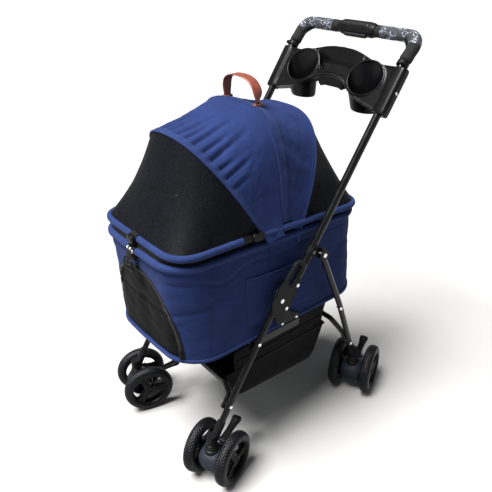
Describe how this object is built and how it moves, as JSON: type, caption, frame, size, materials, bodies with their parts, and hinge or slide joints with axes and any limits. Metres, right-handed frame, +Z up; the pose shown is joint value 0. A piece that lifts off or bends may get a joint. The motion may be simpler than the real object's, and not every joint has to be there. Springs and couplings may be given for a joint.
{
  "type": "pet stroller",
  "caption": "Folding pet stroller: navy fabric carrier with mesh-ended canopy lifts off a tube frame with push handle, cup tray, basket and twin-wheel swivel casters.",
  "frame": {"origin": "on the floor, under the middle of the stroller's box", "axes": "+X across to the pusher's left, -Y forwards, +Z up"},
  "size_m": [0.512, 0.7369, 1.0035],
  "materials": {
    "painted_tube": "satin black powder coat",
    "black_plastic": "satin moulded black",
    "caster_plastic": "ribbed dark grey-blue",
    "rivet_steel": "bright domed rivets and screws",
    "axle_steel": "plain steel",
    "spring_steel": "spring steel hoops",
    "foam_grip": "black foam",
    "tyre": "foam rubber tyre with fine diamond tread, black rim",
    "navy_fabric": "navy woven polyester",
    "basket_fabric": "black woven polyester",
    "black_mesh": "black hex mesh",
    "fibreboard": "floor board",
    "tan_leather": "tan strap leather"
  },
  "bodies": {
    "front_frame": {"front_leg_left": "painted_tube", "front_leg_right": "painted_tube", "front_leg_feet": "black_plastic", "front_cross_tube": "painted_tube", "dock_rails": "painted_tube", "front_frame_rivets": "rivet_steel", "basket": "basket_fabric"},
    "push_bar": {"push_bar_tube": "painted_tube", "fold_plate_left": "black_plastic", "fold_plate_right": "black_plastic", "rear_leg_brackets": "black_plastic", "push_bar_fasteners": "rivet_steel", "handle_grips": "foam_grip", "grip_collars": "black_plastic", "trigger_housing": "black_plastic", "parent_tray": "black_plastic"},
    "fold_locks": {"fold_locks": "black_plastic"},
    "fold_trigger": {"fold_trigger": "black_plastic"},
    "rear_frame": {"rear_leg_left": "painted_tube", "rear_leg_right": "painted_tube", "rear_leg_feet": "black_plastic", "rear_cross_tube": "painted_tube", "rear_frame_rivets": "rivet_steel"},
    "carrier": {"carrier_tub": "navy_fabric", "front_door_mesh": "black_mesh", "base_board": "fibreboard", "cushion": "navy_fabric", "lower_rim": "navy_fabric", "rear_rim": "navy_fabric", "rim_connectors": "black_plastic", "canopy": "navy_fabric", "rear_mesh": "black_mesh", "front_mesh": "black_mesh", "canopy_bows": "spring_steel", "carry_handle": "tan_leather", "docking_arms": "black_plastic", "latch_lower": "black_plastic", "latch_rivets": "rivet_steel"},
    "hatch": {"front_rim": "navy_fabric", "latch_upper": "black_plastic"},
    "caster_front_left": {"caster_housing_front_left": "caster_plastic", "caster_axle_front_left": "axle_steel"},
    "brake_front_left": {"brake_lever_front_left": "black_plastic"},
    "wheel_front_left_a": {"wheel_front_left_a": "tyre"},
    "wheel_front_left_b": {"wheel_front_left_b": "tyre"},
    "caster_front_right": {"caster_housing_front_right": "caster_plastic", "caster_axle_front_right": "axle_steel"},
    "brake_front_right": {"brake_lever_front_right": "black_plastic"},
    "wheel_front_right_a": {"wheel_front_right_a": "tyre"},
    "wheel_front_right_b": {"wheel_front_right_b": "tyre"},
    "caster_rear_left": {"caster_housing_rear_left": "caster_plastic", "caster_axle_rear_left": "axle_steel"},
    "brake_rear_left": {"brake_lever_rear_left": "black_plastic"},
    "wheel_rear_left_a": {"wheel_rear_left_a": "tyre"},
    "wheel_rear_left_b": {"wheel_rear_left_b": "tyre"},
    "caster_rear_right": {"caster_housing_rear_right": "caster_plastic", "caster_axle_rear_right": "axle_steel"},
    "brake_rear_right": {"brake_lever_rear_right": "black_plastic"},
    "wheel_rear_right_a": {"wheel_rear_right_a": "tyre"},
    "wheel_rear_right_b": {"wheel_rear_right_b": "tyre"}
  },
  "joints": [
    {"name": "frame_fold", "type": "hinge", "parent": "front_frame", "child": "push_bar", "pos_m": [0, -0.085, 0.445], "axis": [1, 0, 0], "range_deg": [0, 160], "deforming": ["basket", "carry_handle"]},
    {"name": "rear_leg_fold", "type": "hinge", "parent": "push_bar", "child": "rear_frame", "pos_m": [0, 0.033, 0.533], "axis": [1, 0, 0], "range_deg": [-172, 0]},
    {"name": "lock_slide", "type": "slide", "parent": "push_bar", "child": "fold_locks", "axis": [0, 0.5822, 0.813], "range_m": [0, 0.005]},
    {"name": "trigger_squeeze", "type": "slide", "parent": "push_bar", "child": "fold_trigger", "axis": [0, 0.7071, 0.7071], "range_m": [0, 0.004], "stiffness_N_per_m": 600, "springref_m": -0.002},
    {"name": "carrier_lift_off", "type": "slide", "parent": "front_frame", "child": "carrier", "axis": [0, -0.5, 0.866], "range_m": [0, 0.45]},
    {"name": "hatch_lift", "type": "hinge", "parent": "carrier", "child": "hatch", "pos_m": [0, -0.138, 0.622], "axis": [-1, 0, 0], "range_deg": [0, 50], "deforming": ["front_mesh"]},
    {"name": "swivel_front_left", "type": "hinge", "parent": "front_frame", "child": "caster_front_left", "pos_m": [0.184, -0.303, 0.117], "axis": [0, 0, 1], "continuous": true},
    {"name": "brake_press_front_left", "type": "hinge", "parent": "caster_front_left", "child": "brake_front_left", "pos_m": [0.16739, -0.25903, 0.082], "axis": [0.9354, 0.3535, 0], "range_deg": [-14, 0]},
    {"name": "spin_front_left_a", "type": "hinge", "parent": "caster_front_left", "child": "wheel_front_left_a", "pos_m": [0.17693, -0.28429, 0.07], "axis": [0.9354, 0.3535, 0], "continuous": true},
    {"name": "spin_front_left_b", "type": "hinge", "parent": "caster_front_left", "child": "wheel_front_left_b", "pos_m": [0.17693, -0.28429, 0.07], "axis": [0.9354, 0.3535, 0], "continuous": true},
    {"name": "swivel_front_right", "type": "hinge", "parent": "front_frame", "child": "caster_front_right", "pos_m": [-0.184, -0.303, 0.117], "axis": [0, 0, 1], "continuous": true},
    {"name": "brake_press_front_right", "type": "hinge", "parent": "caster_front_right", "child": "brake_front_right", "pos_m": [-0.17105, -0.25782, 0.082], "axis": [0.9613, -0.2756, 0], "range_deg": [-14, 0]},
    {"name": "spin_front_right_a", "type": "hinge", "parent": "caster_front_right", "child": "wheel_front_right_a", "pos_m": [-0.17849, -0.28377, 0.07], "axis": [0.9613, -0.2756, 0], "continuous": true},
    {"name": "spin_front_right_b", "type": "hinge", "parent": "caster_front_right", "child": "wheel_front_right_b", "pos_m": [-0.17849, -0.28377, 0.07], "axis": [0.9613, -0.2756, 0], "continuous": true},
    {"name": "swivel_rear_left", "type": "hinge", "parent": "rear_frame", "child": "caster_rear_left", "pos_m": [0.184, 0.206, 0.117], "axis": [0, 0, 1], "continuous": true},
    {"name": "brake_press_rear_left", "type": "hinge", "parent": "caster_rear_left", "child": "brake_rear_left", "pos_m": [0.16414, 0.2486, 0.082], "axis": [0.9063, 0.4226, 0], "range_deg": [-14, 0]},
    {"name": "spin_rear_left_a", "type": "hinge", "parent": "caster_rear_left", "child": "wheel_rear_left_a", "pos_m": [0.17555, 0.22413, 0.07], "axis": [0.9063, 0.4226, 0], "continuous": true},
    {"name": "spin_rear_left_b", "type": "hinge", "parent": "caster_rear_left", "child": "wheel_rear_left_b", "pos_m": [0.17555, 0.22413, 0.07], "axis": [0.9063, 0.4226, 0], "continuous": true},
    {"name": "swivel_rear_right", "type": "hinge", "parent": "rear_frame", "child": "caster_rear_right", "pos_m": [-0.184, 0.206, 0.117], "axis": [0, 0, 1], "continuous": true},
    {"name": "brake_press_rear_right", "type": "hinge", "parent": "caster_rear_right", "child": "brake_rear_right", "pos_m": [-0.16948, 0.2507, 0.082], "axis": [0.9511, -0.309, 0], "range_deg": [-14, 0]},
    {"name": "spin_rear_right_a", "type": "hinge", "parent": "caster_rear_right", "child": "wheel_rear_right_a", "pos_m": [-0.17782, 0.22502, 0.07], "axis": [0.9511, -0.309, 0], "continuous": true},
    {"name": "spin_rear_right_b", "type": "hinge", "parent": "caster_rear_right", "child": "wheel_rear_right_b", "pos_m": [-0.17782, 0.22502, 0.07], "axis": [0.9511, -0.309, 0], "continuous": true}
  ],
  "couplings": [
    {"joint": "rear_leg_fold", "follows": "frame_fold", "ratio": -1.07},
    {"joint": "lock_slide", "follows": "trigger_squeeze", "ratio": 1.25}
  ]
}
